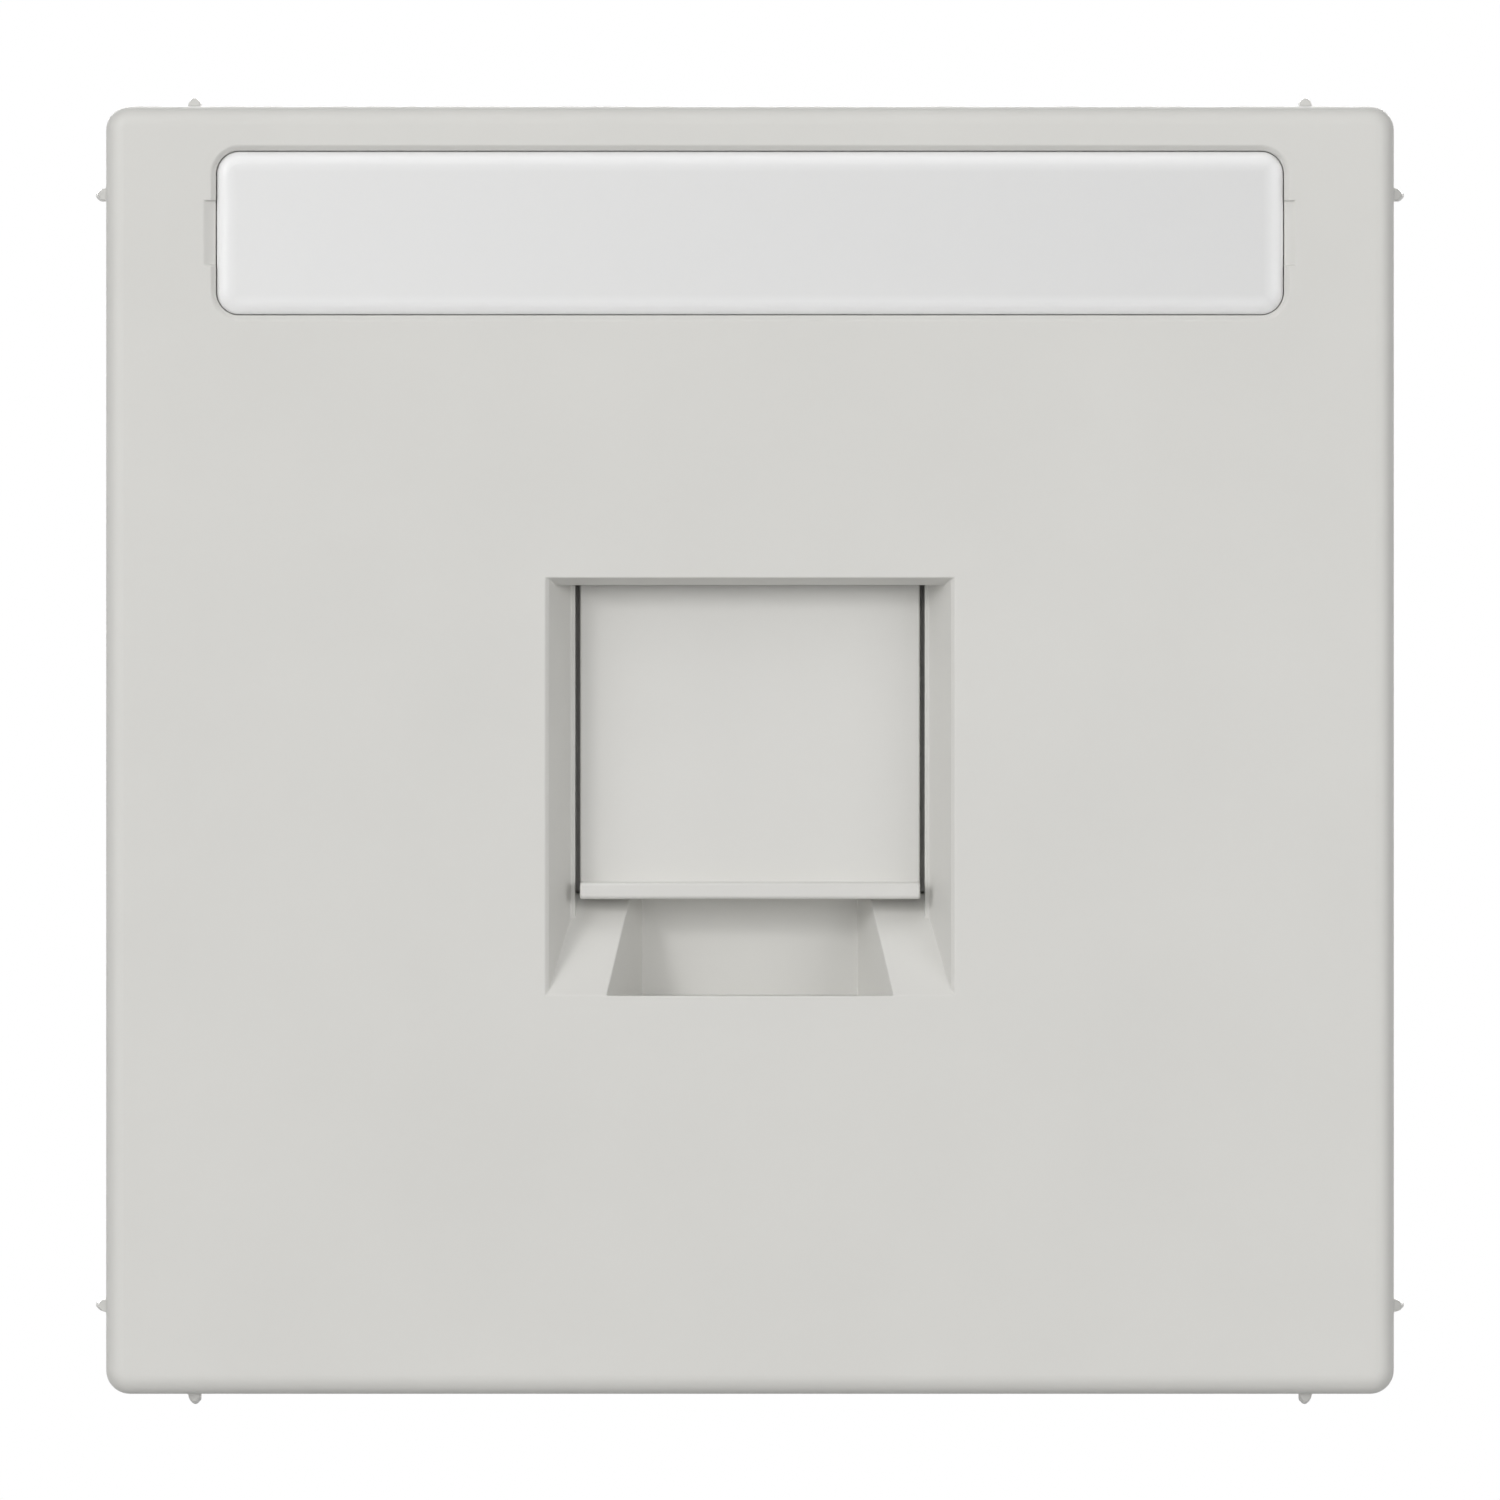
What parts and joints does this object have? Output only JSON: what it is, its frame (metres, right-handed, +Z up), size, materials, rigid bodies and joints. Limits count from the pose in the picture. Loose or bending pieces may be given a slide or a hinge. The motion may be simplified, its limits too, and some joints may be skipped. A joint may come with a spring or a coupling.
{
  "type": "modular wall plate",
  "caption": "Square clip-in data wall plate with a clear label cover and a sprung sliding dust shutter over its jack opening.",
  "frame": {"origin": "centre of the plate in the plane of its rear rim", "axes": "+Y into the wall, +Z up, +X to the right seen from the front"},
  "size_m": [0.0712, 0.014, 0.0712],
  "materials": {
    "plate_plastic": "light grey moulded plastic, fine satin grain",
    "clear_plastic": "clear moulded plastic",
    "label_paper": "blank white paper",
    "shutter_plastic": "light grey moulded plastic, satin",
    "spring_steel": "drawn spring wire",
    "carrier_plastic": "light grey moulded plastic, matt"
  },
  "bodies": {
    "plate": {"face_plate": "plate_plastic", "label_window": "clear_plastic", "label_strip": "label_paper", "jack_carrier": "carrier_plastic", "shutter_spring_left": "spring_steel", "shutter_spring_right": "spring_steel"},
    "shutter": {"dust_shutter": "shutter_plastic"}
  },
  "joints": [
    {"name": "shutter_slide", "type": "slide", "parent": "plate", "child": "shutter", "axis": [0, 0, 1], "range_m": [0, 0.0156], "stiffness_N_per_m": 40, "springref_m": -0.0075, "deforming": ["shutter_spring_left", "shutter_spring_right"]}
  ]
}
